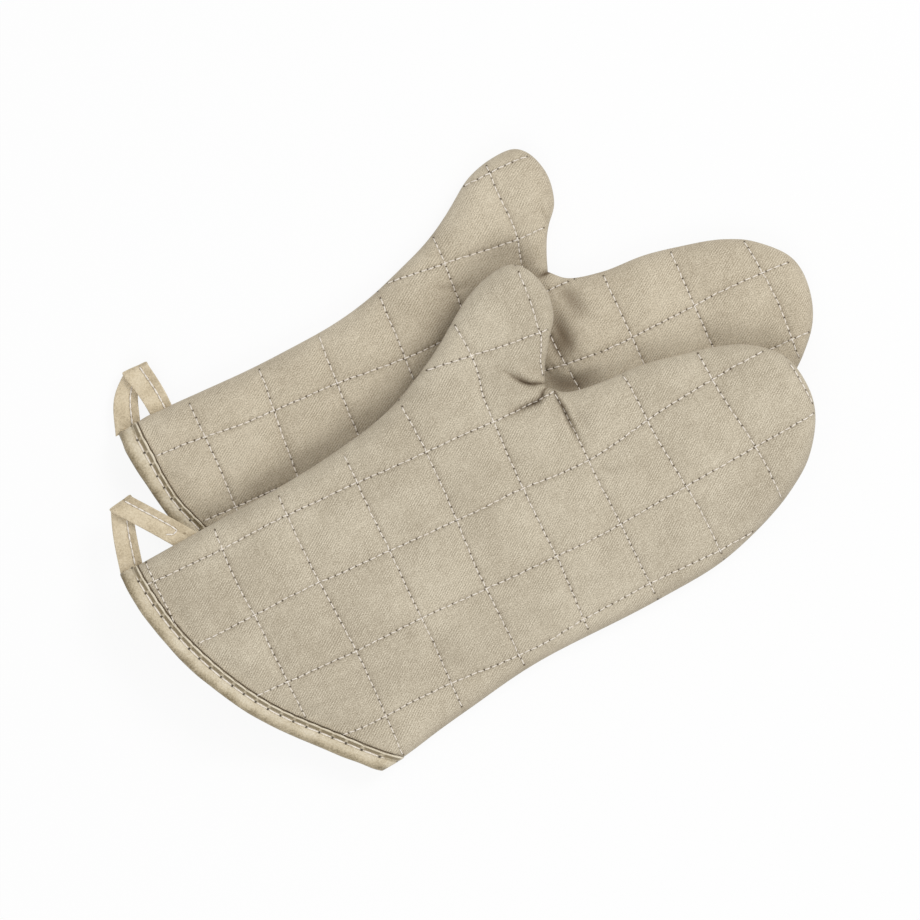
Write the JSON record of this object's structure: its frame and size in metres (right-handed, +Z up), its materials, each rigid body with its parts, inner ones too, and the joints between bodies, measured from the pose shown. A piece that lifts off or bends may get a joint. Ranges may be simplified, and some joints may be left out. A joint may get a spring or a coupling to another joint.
{
  "type": "oven gloves",
  "caption": "Pair of quilted thumbed oven gloves with bound cuffs and hanging loops, one lying over the other; thumbs fold, loops swing and the top glove lifts off.",
  "frame": {"origin": "middle of the pair's box in plan, on the surface that the pair lies on", "axes": "+X from the cuffs towards the fingertips along the front glove's quilting, +Y towards the thumbs, +Z up from the surface"},
  "size_m": [0.4002, 0.272, 0.0365],
  "materials": {
    "front_twill": "matt beige cotton twill",
    "rear_twill": "matt beige cotton twill",
    "batting": "loose cotton wadding",
    "lining_cloth": "plain cotton lining",
    "tape": "smooth woven cotton tape with a light sheen"
  },
  "bodies": {
    "rear_glove": {"rear_upper_shell": "rear_twill", "rear_upper_batting": "batting", "rear_upper_lining": "lining_cloth", "rear_lower_shell": "rear_twill", "rear_lower_batting": "batting", "rear_lower_lining": "lining_cloth", "rear_cuff_binding": "tape"},
    "rear_thumb": {"rear_thumb_upper_shell": "rear_twill", "rear_thumb_upper_batting": "batting", "rear_thumb_upper_lining": "lining_cloth", "rear_thumb_lower_shell": "rear_twill", "rear_thumb_lower_batting": "batting", "rear_thumb_lower_lining": "lining_cloth"},
    "rear_loop": {"rear_hanging_loop": "tape"},
    "front_glove": {"front_upper_shell": "front_twill", "front_upper_batting": "batting", "front_upper_lining": "lining_cloth", "front_lower_shell": "front_twill", "front_lower_batting": "batting", "front_lower_lining": "lining_cloth", "front_cuff_binding": "tape"},
    "front_thumb": {"front_thumb_upper_shell": "front_twill", "front_thumb_upper_batting": "batting", "front_thumb_upper_lining": "lining_cloth", "front_thumb_lower_shell": "front_twill", "front_thumb_lower_batting": "batting", "front_thumb_lower_lining": "lining_cloth"},
    "front_loop": {"front_hanging_loop": "tape"}
  },
  "joints": [
    {"name": "front_glove_lift", "type": "slide", "parent": "rear_glove", "child": "front_glove", "axis": [0, 0, 1], "range_m": [0, 0.06]},
    {"name": "rear_thumb_fold", "type": "hinge", "parent": "rear_glove", "child": "rear_thumb", "pos_m": [0.05366, 0.09041, 0.0151], "axis": [0.7312, -0.6822, 0], "range_deg": [0, 40]},
    {"name": "front_thumb_fold", "type": "hinge", "parent": "front_glove", "child": "front_thumb", "pos_m": [0.02462, 0.03376, 0.0335], "axis": [0.7704, -0.6376, 0], "range_deg": [0, 40]},
    {"name": "rear_loop_swing", "type": "hinge", "parent": "rear_glove", "child": "rear_loop", "pos_m": [-0.16434, 0.09112, 0.0081], "axis": [0.9999, 0.0113, 0], "range_deg": [0, 110]},
    {"name": "front_loop_swing", "type": "hinge", "parent": "front_glove", "child": "front_loop", "pos_m": [-0.19341, 0.0215, 0.0265], "axis": [0.9975, 0.0706, 0], "range_deg": [0, 110]}
  ]
}
